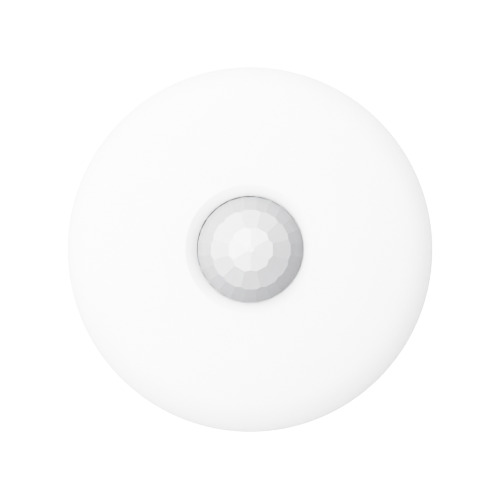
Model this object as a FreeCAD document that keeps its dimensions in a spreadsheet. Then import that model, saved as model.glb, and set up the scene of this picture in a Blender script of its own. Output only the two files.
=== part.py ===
import FreeCAD, Part
import math
import os
import Sketcher

# Ceiling motion sensor, modelled lens up.  Origin: centre of the rear
# (ceiling) face.  +Z points out through the lens.  Millimetres, degrees.
#
# The mounting plate stays on the ceiling.  Everything else is the head, which
# turns about Z to unlock from the plate's three claws.

Vector = FreeCAD.Vector
doc = FreeCAD.newDocument("MotionSensor")
sheet = doc.addObject("Spreadsheet::Sheet", "Params")

# ---------------------------------------------------------------- dimensions
# Columns: alias, value, what it is.  "rad" is a radius and "az" an azimuth
# about Z; "low" and "top" are heights; "in" and "out" are radii from the axis.
TABLE = [
    # whole object
    ("cover_rad", 55.0, "largest radius, at the parting line"),
    ("overall_height", 36.0, "rear face to lens apex"),
    ("wall", 2.0, "moulded wall of both shells"),
    ("parting_z", 8.5, "height of the largest radius and parting line"),
    ("parting_gap", 0.3, "shadow line between the two shells"),
    # front cover profile: three arcs from the parting line to the crease
    ("shoulder_cx", 41.597, "shoulder arc centre, radius from axis"),
    ("shoulder_end_x", 46.634, "shoulder meets the crown"),
    ("shoulder_end_z", 20.920, "shoulder meets the crown"),
    ("crown_arc", 74.188, "crown arc radius"),
    ("crown_end_x", 23.829, "crown meets the brow"),
    ("crown_end_z", 26.184, "crown meets the brow"),
    ("brow_cz", -321.387, "brow arc centre, on the axis"),
    ("brow_arc", 348.387, "brow arc radius"),
    ("crease_x", 19.3, "crease round the dished collar"),
    ("crease_z", 26.465, "crease height"),
    ("crease_fillet", 0.45, "softening of the crease"),
    ("dish_arc", 10.4, "convex arc of the dished collar"),
    ("opening_rad", 15.83, "lens opening"),
    ("opening_z", 24.0, "upper edge of the lens opening"),
    ("seat_z", 22.0, "seat of the lens flange"),
    ("seat_rad", 22.0, "outside of the collar under the cover"),
    # screw bosses in the cover
    ("boss_rad", 3.0, "cover screw boss"),
    ("boss_low", 6.65, "boss foot, on the housing floor"),
    ("boss_top", 23.05, "boss top, inside the cover wall"),
    ("boss_hole_rad", 1.25, "pilot hole"),
    ("boss_hole_top", 19.0, "blind end of the pilot hole"),
    ("boss_front_x", 25.8, "bosses at +Y"),
    ("boss_front_y", 25.8, "bosses at +Y"),
    ("boss_rear_x", 24.8, "bosses at -Y, beside the battery trough"),
    ("boss_rear_y", 26.8, "bosses at -Y, beside the battery trough"),
    ("ear_pitch_rad", 24.2, "retainer screws from the axis"),
    ("ear_boss_rad", 2.5, "boss for a retainer screw"),
    ("ear_boss_top", 24.8, "top of that boss, inside the cover wall"),
    ("ear_hole_rad", 1.0, "pilot hole"),
    ("ear_hole_top", 23.6, "blind end"),
    # lens: four families of flat facets
    ("tilt_one", 12.6, "slope of the six inner facets"),
    ("tilt_two", 34.5, "slope of the twelve facets"),
    ("tilt_three", 57.5, "slope of the twenty-four facets"),
    ("hub_rad", 0.9, "flat hub, across flats / 2"),
    ("ring_one_rad", 6.59, "inner facets meet the second ring"),
    ("ring_two_rad", 11.93, "second ring meets the third"),
    ("skirt_rad", 15.68, "24-sided skirt, across flats / 2"),
    ("lens_wall", 0.7, "lens sheet thickness"),
    ("lens_flange_rad", 19.2, "lens flange"),
    ("lens_flange_low", 20.9, "underside of the lens flange"),
    # lens retainer
    ("retainer_inner", 15.3, "ring bore"),
    ("retainer_outer", 20.4, "ring outside"),
    ("retainer_low", 19.4, "ring underside"),
    ("retainer_lip_in", 19.4, "centring lip, inside"),
    ("retainer_lip_top", 21.95, "centring lip top"),
    ("ear_rad", 2.8, "screw ear"),
    ("ear_clear_rad", 1.15, "screw clearance hole in the ear"),
    # rear housing
    ("rim_outer", 50.9, "outside of the rear rim"),
    ("rim_inner", 49.1, "inside of the rear rim"),
    ("rim_z", 1.0, "rear rim height above the ceiling"),
    ("under_arc_out", 8.91, "outside arc under the parting line"),
    ("under_arc_in", 9.16, "inside arc under the parting line"),
    ("floor_low", 5.0, "housing floor, underside"),
    ("floor_top", 6.6, "housing floor, top"),
    ("lip_inner", 51.4, "locating lip inside the cover"),
    ("lip_outer", 52.6, "locating lip inside the cover"),
    ("lip_top", 10.0, "locating lip top"),
    ("trough_y", -31.0, "battery axis"),
    ("trough_z", 11.9, "battery axis"),
    ("trough_in", 8.8, "trough inside radius"),
    ("trough_out", 9.6, "trough outside radius"),
    ("trough_half_in", 19.4, "trough cavity, half length"),
    ("trough_half_out", 20.6, "trough, half length"),
    ("post_rad", 2.5, "board post"),
    ("post_hole_rad", 1.0, "board post pilot hole"),
    ("post_hole_low", 8.2, "blind end"),
    ("post_front_x", 24.0, "board posts at +Y"),
    ("post_front_y", 14.0, "board posts at +Y"),
    ("post_rear_x", 22.0, "board posts at -Y"),
    ("post_rear_y", 16.0, "board posts at -Y"),
    ("screw_clear_rad", 1.45, "cover screw clearance in the floor"),
    ("switch_rad", 20.0, "both switches from the axis"),
    ("tamper_az", 60.0, "tamper switch azimuth"),
    ("enrol_az", 120.0, "enrol switch azimuth"),
    ("guide_in", 2.7, "tamper guide tube bore"),
    ("guide_out", 3.7, "tamper guide tube outside"),
    ("guide_top", 10.4, "tamper guide tube top"),
    ("pin_hole_rad", 1.6, "plunger and button holes in the floor"),
    ("guard_in", 3.4, "guard ring round the enrol button"),
    ("guard_out", 4.4, "guard ring round the enrol button"),
    ("guard_low", 2.8, "guard ring foot"),
    # bayonet
    ("claw_az", 100.0, "first claw; the others at 120 degree steps"),
    ("claw_half", 7.0, "half width of a claw, degrees"),
    ("claw_out", 44.4, "claw outside"),
    ("claw_in", 43.0, "claw upstand inside"),
    ("claw_lip_in", 41.2, "claw lip inside"),
    ("claw_lip_low", 6.8, "claw lip underside"),
    ("claw_top", 8.2, "claw top"),
    ("slot_out", 44.8, "bayonet window outside"),
    ("slot_in", 42.8, "narrow part of the window"),
    ("slot_wide_in", 40.8, "wide part of the window"),
    ("slot_back", 33.5, "window end past the claw, degrees"),
    ("slot_front", 7.4, "window end at the locked side, degrees"),
    ("slot_wide_end", 16.5, "end of the wide part, degrees"),
    # mounting plate
    ("plate_rad", 48.4, "mounting plate"),
    ("plate_top", 2.0, "mounting plate thickness"),
    ("fix_spacing", 60.0, "ceiling screw spacing"),
    ("fix_rad", 2.25, "ceiling screw hole"),
    ("fix_head_rad", 4.3, "ceiling screw head recess"),
    ("fix_land", 1.2, "hole wall under the head recess"),
    ("relief_in", 36.5, "rear relief, inside"),
    ("relief_out", 45.0, "rear relief, outside"),
    ("relief_deep", 0.8, "rear relief depth"),
    ("track_half", 2.3, "half width of the plunger track"),
    ("track_start", 53.4, "plunger track, first azimuth"),
    ("track_end", 91.6, "plunger track, last azimuth"),
    # electronics
    ("board_low", 14.2, "circuit board underside"),
    ("board_top", 15.8, "circuit board top"),
    ("board_rad", 33.0, "circuit board"),
    ("board_cut_y", -20.8, "straight edge beside the trough"),
    ("board_screw_rad", 1.1, "screw clearance in the board"),
    ("pyro_lead_pitch", 2.54, "sensor leads from the axis"),
    ("pyro_lead_top", 17.9, "sensor lead tops"),
    ("pyro_flange_rad", 4.6, "sensor header flange"),
    ("pyro_flange_high", 0.5, "sensor header flange thickness"),
    ("pyro_can_rad", 4.1, "sensor can"),
    ("pyro_can_top", 20.6, "sensor can top"),
    ("pyro_can_wall", 0.25, "sensor can sheet"),
    ("pyro_seat", 16.6, "underside of the sensor flange"),
    ("shroud_peg_x", 7.5, "sensor shroud pegs from the axis"),
    ("led_y", 11.5, "indicator from the axis"),
    ("led_lead_x", 1.27, "indicator leads from its centre"),
    ("cell_rad", 8.5, "battery cell"),
    ("cell_len", 33.5, "cell without its nub"),
    ("nub_rad", 3.25, "cell nub"),
    ("nub_len", 1.0, "cell nub"),
    ("cell_tip_x", -18.2, "nub tip"),
    ("switch_low", 10.7, "underside of both switch bodies"),
    ("stem_rad", 1.75, "switch stem"),
    ("tamper_stem_low", 9.95, "tamper stem, pressed"),
    ("enrol_stem_low", 9.7, "enrol stem, free"),
    ("stem_len", 2.0, "switch stem length"),
    ("plunger_rad", 1.5, "tamper plunger shaft"),
    ("plunger_tip", 0.05, "plunger tip, pressed to the ceiling"),
    ("plunger_collar_low", 8.5, "collar under the spring"),
    ("plunger_collar_top", 9.3, "collar under the spring"),
    ("plunger_top", 9.93, "plunger top"),
    ("button_low", 3.3, "enrol button face"),
    ("button_head_top", 4.7, "enrol button head"),
    ("button_top", 9.6, "enrol button stem top"),
]

TOUCH = 0.02  # gap between parts that rest on each other
ROOT = 0.3  # how far an added feature starts inside its solid
OVERCUT = 0.1  # how far outside a face a cut starts
FULL_TURN = 360.0

sheet.set("A1", "size")
sheet.set("B1", "value")
sheet.set("C1", "what it is")
for row, (alias, value, note) in enumerate(TABLE, start=2):
    sheet.set("A%d" % row, alias)
    sheet.set("B%d" % row, repr(value))
    sheet.set("C%d" % row, note)
    sheet.setAlias("B%d" % row, alias)
doc.recompute()


class Dim:
    """A size with its value and the sheet expression that drives it."""

    def __init__(self, value, text, bound=True):
        self.value = float(value)
        self.text = text
        self.bound = bound

    def _join(self, other, sign, value):
        text = "(%s %s %s)" % (self.text, sign, other.text)
        return Dim(value, text, self.bound or other.bound)

    def __add__(self, other):
        other = dim(other)
        return self._join(other, "+", self.value + other.value)

    def __sub__(self, other):
        other = dim(other)
        return self._join(other, "-", self.value - other.value)

    def __mul__(self, other):
        other = dim(other)
        return self._join(other, "*", self.value * other.value)

    def __truediv__(self, other):
        other = dim(other)
        return self._join(other, "/", self.value / other.value)

    def __rsub__(self, other):
        return dim(other) - self

    def __rmul__(self, other):
        return dim(other) * self

    def __neg__(self):
        return Dim(-self.value, "(0 - %s)" % self.text, self.bound)


def dim(number):
    """Wrap a plain number as an unbound Dim; a Dim passes through."""
    if isinstance(number, Dim):
        return number
    number = float(number)
    return Dim(number, repr(number) if number >= 0 else "(0 - %r)" % -number, False)


def cosd(angle):
    angle = dim(angle)
    return Dim(math.cos(math.radians(angle.value)), "cos(%s)" % angle.text, angle.bound)


def sind(angle):
    angle = dim(angle)
    return Dim(math.sin(math.radians(angle.value)), "sin(%s)" % angle.text, angle.bound)


def tand(angle):
    angle = dim(angle)
    return Dim(math.tan(math.radians(angle.value)), "tan(%s)" % angle.text, angle.bound)


def root(square):
    return Dim(math.sqrt(square.value), "sqrt(%s)" % square.text, square.bound)


def at(radius, azimuth):
    """Point at a radius and azimuth about Z."""
    return (dim(radius) * cosd(azimuth), dim(radius) * sind(azimuth))


class Sizes:
    """Every row of the sheet, as a Dim named by its alias."""


size = Sizes()
for alias, value, note in TABLE:
    setattr(size, alias, Dim(sheet.get(alias), "Params." + alias))


# ------------------------------------------------------------ bodies, places
XY, XZ, YZ = "XY_Plane", "XZ_Plane", "YZ_Plane"


def bind(obj, prop, amount):
    amount = dim(amount)
    setattr(obj, prop, amount.value)
    if amount.bound:
        obj.setExpression(prop, amount.text)


def new_body(label, group=False):
    """New body; a group may hold several separate solids."""
    body = doc.addObject("PartDesign::Body", label)
    body.Label = label
    if group:
        body.AllowCompound = True
    return body


def add(body, kind, suffix):
    return body.newObject("PartDesign::" + kind, body.Label + "_" + suffix)


def origin_feature(body, role):
    return [f for f in body.Origin.OriginFeatures if f.Role == role][0]


def place(body, x=0, y=0, z=0, turn=None):
    x, y, z = dim(x), dim(y), dim(z)
    body.Placement = FreeCAD.Placement(
        Vector(x.value, y.value, z.value), turn if turn else FreeCAD.Rotation()
    )
    for axis, amount in (("x", x), ("y", y), ("z", z)):
        if amount.bound:
            body.setExpression("Placement.Base." + axis, amount.text)


# -------------------------------------------------------------- sketch loops
# A loop is a circle or a list of points.  A point is (x, y), or (x, y, bend)
# where the segment that leaves it is an arc.
def circle(x, y, radius):
    return ("circle", dim(x), dim(y), dim(radius))


def circles(points, radius):
    return [circle(x, y, radius) for x, y in points]


def rect(x0, y0, x1, y1):
    return [(x0, y0), (x1, y0), (x1, y1), (x0, y1)]


def ccw(radius):
    return (True, dim(radius))


def cw(radius):
    return (False, dim(radius))


def sector(inner, outer, start, end):
    """Annular sector between two azimuths."""
    return [
        at(inner, start),
        (*at(outer, start), ccw(outer)),
        at(outer, end),
        (*at(inner, end), cw(inner)),
    ]


def polygon(sides, across):
    """Regular polygon by its across-flats radius, one side centred on azimuth 0."""
    corner = dim(across) / cosd(180.0 / sides)
    return [at(corner, 180.0 / sides + FULL_TURN * k / sides) for k in range(sides)]


def arc_between(start, end, radius, left):
    """Minor arc between two points, turning left (ccw) or right (cw)."""
    dx, dy = end[0] - start[0], end[1] - start[1]
    chord = math.hypot(dx, dy)
    offset = math.sqrt(max(radius * radius - chord * chord / 4.0, 0.0)) / chord
    if not left:
        offset = -offset
    cx = (start[0] + end[0]) / 2.0 - dy * offset
    cy = (start[1] + end[1]) / 2.0 + dx * offset
    first = math.atan2(start[1] - cy, start[0] - cx)
    last = math.atan2(end[1] - cy, end[0] - cx)
    base = Part.Circle(Vector(cx, cy, 0), Vector(0, 0, 1), radius)
    return Part.ArcOfCircle(base, first, last) if left else Part.ArcOfCircle(base, last, first)


def constrain(sketch, amount, *terms):
    """Add a dimensional constraint, driven by the sheet where it is bound."""
    index = sketch.addConstraint(Sketcher.Constraint(*terms, amount.value))
    if amount.bound:
        sketch.setExpression("Constraints[%d]" % index, amount.text)


def hold(sketch, geo, point, x, y):
    """Fix one point of a sketch by its two coordinates."""
    for kind, axis, amount in (("DistanceX", -2, x), ("DistanceY", -1, y)):
        if amount.value == 0.0 and not amount.bound:
            sketch.addConstraint(Sketcher.Constraint("PointOnObject", geo, point, axis))
        else:
            constrain(sketch, amount, kind, -1, 1, geo, point)


def draw_circle(sketch, x, y, radius):
    base = Part.Circle(Vector(x.value, y.value, 0), Vector(0, 0, 1), radius.value)
    geo = sketch.addGeometry(base, False)
    hold(sketch, geo, 3, x, y)
    constrain(sketch, radius, "Radius", geo)


def draw_path(sketch, path, closed):
    points = [(dim(p[0]), dim(p[1])) for p in path]
    bends = [p[2] if len(p) > 2 else None for p in path]
    count = len(points) if closed else len(points) - 1
    ends = []  # geometry, number of its start point, number of its end point
    for i in range(count):
        start, end = [
            (p[0].value, p[1].value) for p in (points[i], points[(i + 1) % len(points)])
        ]
        if bends[i] is None:
            curve = Part.LineSegment(Vector(*start, 0), Vector(*end, 0))
            forward = True
        else:
            forward = bends[i][0]
            curve = arc_between(start, end, bends[i][1].value, forward)
        geo = sketch.addGeometry(curve, False)
        ends.append((geo, 1, 2) if forward else (geo, 2, 1))
    for i in range(count):
        geo, start, end = ends[i]
        if closed or i + 1 < count:
            next_geo, next_start, _ = ends[(i + 1) % count]
            sketch.addConstraint(
                Sketcher.Constraint("Coincident", geo, end, next_geo, next_start)
            )
        hold(sketch, geo, start, *points[i])
    if not closed:
        geo, start, end = ends[-1]
        hold(sketch, geo, end, *points[-1])
    for i in range(count):
        if bends[i] is not None:
            constrain(sketch, bends[i][1], "Radius", ends[i][0])


def draw(body, plane, loops, lift=0, closed=True):
    """Sketch on a plane of the body, lifted along the plane's normal."""
    sketch = body.newObject("Sketcher::SketchObject", body.Label + "_sketch")
    sketch.AttachmentSupport = [(origin_feature(body, plane), "")]
    sketch.MapMode = "FlatFace"
    lift = dim(lift)
    sketch.AttachmentOffset = FreeCAD.Placement(Vector(0, 0, lift.value), FreeCAD.Rotation())
    if lift.bound:
        sketch.setExpression("AttachmentOffset.Base.z", lift.text)
    for loop in loops:
        if loop[0] == "circle":
            draw_circle(sketch, *loop[1:])
        else:
            draw_path(sketch, loop, closed)
    return sketch


# ------------------------------------------------------------------ features
def pad(body, plane, loops, length, lift=0, reverse=False, both=False):
    """Pad along the plane's normal."""
    sketch = draw(body, plane, loops, lift)
    feature = add(body, "Pad", "pad")
    feature.Profile = sketch
    bind(feature, "Length", length)
    feature.Midplane = both
    feature.Reversed = reverse
    doc.recompute()
    return feature


def pocket(body, plane, loops, length, lift=0, reverse=False, both=False):
    """Cut against the plane's normal, or along it when reversed."""
    sketch = draw(body, plane, loops, lift)
    doc.recompute()
    before = body.Tip.Shape.Volume
    feature = add(body, "Pocket", "pocket")
    feature.Profile = sketch
    bind(feature, "Length", length)
    feature.Midplane = both
    feature.Reversed = reverse
    doc.recompute()
    if not feature.Shape.Volume < before - 1e-6:
        raise RuntimeError(feature.Label + " removed nothing")
    return feature


def revolve(body, path):
    """Turn a path of (radius, z) points about Z."""
    sketch = draw(body, XZ, [path])
    feature = add(body, "Revolution", "turned")
    feature.Profile = sketch
    feature.ReferenceAxis = (sketch, ["V_Axis"])
    feature.Angle = FULL_TURN
    doc.recompute()


def polar(body, features, count, suffix="polar"):
    """Repeat features evenly round Z."""
    feature = add(body, "PolarPattern", suffix)
    feature.Originals = features
    feature.Axis = (origin_feature(body, "Z_Axis"), [""])
    feature.Angle = FULL_TURN
    feature.Occurrences = count
    body.Tip = feature
    doc.recompute()


def dress(body, kind, amount, wanted):
    """Fillet or chamfer on every edge of the tip that wanted() accepts."""
    doc.recompute()
    base = body.Tip
    names = ["Edge%d" % (i + 1) for i, edge in enumerate(base.Shape.Edges) if wanted(edge)]
    if not names:
        raise RuntimeError("no edges for " + kind + " on " + body.Label)
    feature = add(body, kind, kind.lower())
    feature.Base = (base, names)
    bind(feature, "Radius" if kind == "Fillet" else "Size", amount)
    doc.recompute()


def ring_edge(radius, z, slack=0.02):
    """Selector for circular edges of a radius whose centre is at a height."""
    radius, z = dim(radius).value, dim(z).value

    def wanted(edge):
        curve = edge.Curve
        return (
            isinstance(curve, Part.Circle)
            and abs(curve.Radius - radius) < slack
            and abs(curve.Center.z - z) < slack
        )

    return wanted


def upright(height):
    """Selector for edges that rise the full height of a block."""
    return lambda edge: edge.BoundBox.ZLength > height - 0.2


def top_edge(height):
    """Selector for edges in the top face of a block that stands on z = 0."""
    return lambda edge: edge.BoundBox.ZMin > height - 0.1


def coil(body, plane, wire, pitch, turns, axis="V_Axis", reverse=False, label=None):
    """Sweep a wire section in a helix about an axis of its sketch."""
    sketch = draw(body, plane, [wire])
    feature = body.newObject("PartDesign::AdditiveHelix", label or body.Label + "_coil")
    feature.Profile = sketch
    feature.ReferenceAxis = (sketch, [axis])
    feature.Mode = "pitch-turns-angle"
    bind(feature, "Pitch", pitch)
    bind(feature, "Turns", turns)
    feature.Reversed = reverse
    doc.recompute()


# ---------------------------------------------------------- shared positions
def four_corners(front_x, front_y, rear_x, rear_y):
    """Two places at +Y and two at -Y."""
    return [(front_x, front_y), (-front_x, front_y), (-rear_x, -rear_y), (rear_x, -rear_y)]


COVER_SCREWS = four_corners(
    size.boss_front_x, size.boss_front_y, size.boss_rear_x, size.boss_rear_y
)
BOARD_POSTS = four_corners(
    size.post_front_x, size.post_front_y, size.post_rear_x, size.post_rear_y
)
EAR_SCREWS = [at(size.ear_pitch_rad, azimuth) for azimuth in (60, 180, 300)]
TAMPER = at(size.switch_rad, size.tamper_az)
ENROL = at(size.switch_rad, size.enrol_az)
PYRO_LEADS = [
    (size.pyro_lead_pitch, 0),
    (-size.pyro_lead_pitch, 0),
    (0, -size.pyro_lead_pitch),
]
SHROUD_PEGS = [(size.shroud_peg_x, 0), (-size.shroud_peg_x, 0)]
LAY = FreeCAD.Rotation(Vector(0, 1, 0), 90)  # lays a body's own +Z along +X
half_gap = size.parting_gap / 2
board_face = size.board_top + TOUCH  # where parts stand on the board


# ------------------------------------------------------------ mounting plate
def mounting_plate():
    body = new_body("mounting_plate")
    overlap = 0.2
    pad(body, XY, [circle(0, 0, size.plate_rad)], size.plate_top)
    dress(body, "Chamfer", 0.4, ring_edge(size.plate_rad, size.plate_top))
    # claws: an upstand and an inward lip, three times
    start, end = size.claw_az - size.claw_half, size.claw_az + size.claw_half
    upstand = pad(
        body,
        XY,
        [sector(size.claw_in, size.claw_out, start, end)],
        size.claw_top - size.plate_top + overlap,
        lift=size.plate_top - overlap,
    )
    lip = pad(
        body,
        XY,
        [sector(size.claw_lip_in, size.claw_in + overlap, start, end)],
        size.claw_top - size.claw_lip_low,
        lift=size.claw_lip_low,
    )
    polar(body, [upstand, lip], 3)
    # rear relief: twelve shallow sectors, leaving radial ribs
    relief = pocket(
        body,
        XY,
        [sector(size.relief_in, size.relief_out, 1.0, 29.0)],
        size.relief_deep,
        reverse=True,
    )
    polar(body, [relief], 12)
    # ceiling screw holes with flat head recesses, the track that the tamper
    # plunger reaches through while the head turns, and a sector window at -Y
    fixings = [(size.fix_spacing / 2, 0), (-size.fix_spacing / 2, 0)]
    through = 2 * size.plate_top
    track = sector(
        size.switch_rad - size.track_half,
        size.switch_rad + size.track_half,
        size.track_start,
        size.track_end,
    )
    for loops, depth in (
        (circles(fixings, size.fix_rad), through),
        (circles(fixings, size.fix_head_rad), size.plate_top - size.fix_land),
        ([track], through),
        ([sector(10.0, 27.0, 205.0, 335.0)], through),
    ):
        pocket(body, XY, loops, depth, lift=size.plate_top)
    return body


# -------------------------------------------------------------- rear housing
def housing_shell(body):
    under_out_cx = size.cover_rad - size.under_arc_out
    under_in_cx = size.cover_rad - size.wall - size.under_arc_in
    floor_rise = size.floor_low - size.parting_z
    floor_edge_x = under_in_cx + root(
        size.under_arc_in * size.under_arc_in - floor_rise * floor_rise
    )
    edge_x = under_out_cx + root(size.under_arc_out * size.under_arc_out - half_gap * half_gap)
    edge_z = size.parting_z - half_gap
    revolve(
        body,
        [
            (0, size.floor_low),
            (floor_edge_x, size.floor_low, cw(size.under_arc_in)),
            (size.rim_inner, size.rim_z),
            (size.rim_outer, size.rim_z, ccw(size.under_arc_out)),
            (edge_x, edge_z),
            (size.lip_outer, edge_z),
            (size.lip_outer, size.lip_top),
            (size.lip_inner, size.lip_top),
            (size.lip_inner, size.floor_top),
            (0, size.floor_top),
        ],
    )
    dress(body, "Fillet", 0.5, ring_edge(size.rim_outer, size.rim_z))
    dress(body, "Chamfer", 0.25, ring_edge(edge_x, edge_z))


def trough_section(radius, low):
    """Round-topped section of the trough, in Y and Z."""
    return [
        (size.trough_y - radius, low),
        (size.trough_y + radius, low),
        (size.trough_y + radius, size.trough_z, ccw(radius)),
        (size.trough_y, size.trough_z + radius, ccw(radius)),
        (size.trough_y - radius, size.trough_z),
    ]


def housing_trough(body):
    """Battery trough, closed over the cell and open at the rear."""
    section = trough_section(size.trough_out, size.floor_low + 0.5)
    pad(body, YZ, [section], 2 * size.trough_half_out, both=True)
    section = trough_section(size.trough_in, size.rim_z)
    pocket(body, YZ, [section], 2 * size.trough_half_in, both=True)
    # two snap lips that hold the cell in the trough
    half_length, reach, overlap = 5, 1.3, 0.2
    upper_y, lower_y = size.trough_y + size.trough_in, size.trough_y - size.trough_in
    pad(
        body,
        XY,
        [
            rect(-half_length, upper_y - reach, half_length, upper_y + overlap),
            rect(-half_length, lower_y - overlap, half_length, lower_y + reach),
        ],
        size.floor_top - size.floor_low,
        lift=size.floor_low,
    )
    # notches for the contact tabs, through the +Y side wall
    width, low, high = 0.8, 7.2, 9.8
    pocket(
        body,
        XZ,
        [
            rect(-size.trough_half_in, low, width - size.trough_half_in, high),
            rect(size.trough_half_in - width, low, size.trough_half_in, high),
        ],
        1.6,
        lift=-(size.trough_y + size.trough_out + 0.4),
        reverse=True,
    )


def housing_posts_and_guides(body):
    stand = size.floor_top - ROOT
    pad(body, XY, circles(BOARD_POSTS, size.post_rad), size.board_low - stand, lift=stand)
    pocket(
        body,
        XY,
        circles(BOARD_POSTS, size.post_hole_rad),
        size.board_low - size.post_hole_low,
        lift=size.board_low,
    )
    # tamper guide tube
    pad(body, XY, [circle(*TAMPER, size.guide_out)], size.guide_top - stand, lift=stand)
    pocket(
        body,
        XY,
        [circle(*TAMPER, size.guide_in)],
        size.guide_top - size.floor_top,
        lift=size.guide_top,
    )
    # enrol guard ring, under the floor
    pad(
        body,
        XY,
        [circle(*ENROL, size.guard_out), circle(*ENROL, size.guard_in)],
        size.floor_low - size.guard_low + ROOT,
        lift=size.guard_low,
    )
    pocket(
        body,
        XY,
        circles([TAMPER, ENROL], size.pin_hole_rad),
        size.guide_top - size.guard_low,
        lift=size.guide_top,
    )


def housing_floor_openings(body):
    start_z = size.floor_top + OVERCUT
    depth = size.floor_top - size.floor_low + 0.4
    pocket(body, XY, circles(COVER_SCREWS, size.screw_clear_rad), depth, lift=start_z)
    # bayonet windows: the wide end lets a claw in, the narrow end locks it
    start = size.claw_az - size.slot_back
    narrow_end = size.claw_az + size.slot_front
    wide_end = size.claw_az - size.slot_wide_end
    narrow = pocket(
        body, XY, [sector(size.slot_in, size.slot_out, start, narrow_end)], depth, lift=start_z
    )
    wide = pocket(
        body,
        XY,
        [sector(size.slot_wide_in, size.slot_in + 0.3, start, wide_end)],
        depth,
        lift=start_z,
    )
    polar(body, [narrow, wide], 3)


def rear_housing():
    body = new_body("rear_housing")
    housing_shell(body)
    housing_trough(body)
    housing_posts_and_guides(body)
    housing_floor_openings(body)
    # ribs on the floor, inside the path of the claws
    half_width, rib_high = 0.6, 1.5
    pad(
        body,
        XY,
        [
            rect(-half_width, 24.0, half_width, 40.0),
            rect(-39.5, -half_width, -26.0, half_width),
            rect(26.0, -half_width, 39.5, half_width),
        ],
        rib_high + ROOT,
        lift=size.floor_top - ROOT,
    )
    return body


# --------------------------------------------------------------- front cover
def inward(x, z, cx, cz, arc):
    """The point one wall thickness towards an arc's centre."""
    ratio = (arc - size.wall) / arc
    return (cx + (x - cx) * ratio, cz + (z - cz) * ratio)


def cover_shell(body):
    edge_z = size.parting_z + half_gap
    # the shoulder arc is centred at parting height and touches cover_rad there
    shoulder_arc = size.cover_rad - size.shoulder_cx
    shoulder_in = shoulder_arc - size.wall
    crown_in = size.crown_arc - size.wall
    brow_in = size.brow_arc - size.wall
    outer_x = size.shoulder_cx + root(shoulder_arc * shoulder_arc - half_gap * half_gap)
    inner_x = size.shoulder_cx + root(shoulder_in * shoulder_in - half_gap * half_gap)
    shoulder_end_in = inward(
        size.shoulder_end_x, size.shoulder_end_z, size.shoulder_cx, size.parting_z, shoulder_arc
    )
    crown_end_in = inward(
        size.crown_end_x, size.crown_end_z, dim(0), size.brow_cz, size.brow_arc
    )
    seat_meets_z = size.brow_cz + root(brow_in * brow_in - size.seat_rad * size.seat_rad)
    revolve(
        body,
        [
            (inner_x, edge_z),
            (outer_x, edge_z, ccw(shoulder_arc)),
            (size.shoulder_end_x, size.shoulder_end_z, ccw(size.crown_arc)),
            (size.crown_end_x, size.crown_end_z, ccw(size.brow_arc)),
            (size.crease_x, size.crease_z, ccw(size.dish_arc)),
            (size.opening_rad, size.opening_z),
            (size.opening_rad, size.seat_z),
            (size.seat_rad, size.seat_z),
            (size.seat_rad, seat_meets_z, cw(brow_in)),
            (*crown_end_in, cw(crown_in)),
            (*shoulder_end_in, cw(shoulder_in)),
        ],
    )
    dress(body, "Fillet", size.crease_fillet, ring_edge(size.crease_x, size.crease_z))
    dress(body, "Chamfer", 0.25, ring_edge(outer_x, edge_z))


def boss(body, points, low, top, radius, hole_top, hole_radius):
    """Bosses with blind pilot holes from below; returns both features."""
    outside = pad(body, XY, circles(points, radius), top - low, lift=low)
    hole = pocket(
        body,
        XY,
        circles(points, hole_radius),
        hole_top - low + OVERCUT,
        lift=low - OVERCUT,
        reverse=True,
    )
    return [outside, hole]


def front_cover():
    body = new_body("front_cover")
    cover_shell(body)
    boss(
        body,
        COVER_SCREWS,
        size.boss_low,
        size.boss_top,
        size.boss_rad,
        size.boss_hole_top,
        size.boss_hole_rad,
    )
    ear_boss = boss(
        body,
        [(-size.ear_pitch_rad, 0)],
        size.lens_flange_low,
        size.ear_boss_top,
        size.ear_boss_rad,
        size.ear_hole_top,
        size.ear_hole_rad,
    )
    polar(body, ear_boss, 3)
    return body


# ---------------------------------------------------------------------- lens
def facet_form(label, low, apex, across, families):
    """Prism cut to facets.  Each family is one slanted cut along the line
    z = top - tan(tilt) * x, turned round the axis."""
    body = new_body(label)
    pad(body, XY, [polygon(24, across)], apex - low, lift=low)
    sky = size.overall_height + 6
    far = dim(24)
    for count, tilt, top in families:
        slope = tand(tilt)
        wedge = [((top - sky) / slope, sky), (far, top - slope * far), (far, sky)]
        cut = pocket(body, XZ, [wedge], 80, both=True)
        polar(body, [cut], count, "facets")
    return body


def faceted_lens():
    # neighbouring families meet at hub_rad, ring_one_rad and ring_two_rad
    slope_one, slope_two, slope_three = [
        tand(tilt) for tilt in (size.tilt_one, size.tilt_two, size.tilt_three)
    ]
    top_one = size.overall_height + slope_one * size.hub_rad
    top_two = top_one + (slope_two - slope_one) * size.ring_one_rad
    top_three = top_two + (slope_three - slope_two) * size.ring_two_rad
    families = [
        (24, size.tilt_three, top_three),
        (12, size.tilt_two, top_two),
        (6, size.tilt_one, top_one),
    ]
    outer_form = facet_form(
        "lens_outer_form",
        size.lens_flange_low,
        size.overall_height,
        size.skirt_rad,
        families,
    )
    pad(
        outer_form,
        XY,
        [circle(0, 0, size.lens_flange_rad)],
        size.seat_z - size.lens_flange_low,
        lift=size.lens_flange_low,
    )
    # the core is the same form, one sheet thickness smaller on every facet
    core_form = facet_form(
        "lens_core_form",
        size.lens_flange_low - 0.5,
        size.overall_height - size.lens_wall,
        size.skirt_rad - size.lens_wall,
        [(count, tilt, top - size.lens_wall / cosd(tilt)) for count, tilt, top in families],
    )
    lens = doc.addObject("Part::Cut", "lens")
    lens.Label = "lens"
    lens.Base = outer_form
    lens.Tool = core_form
    doc.recompute()
    return lens


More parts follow.
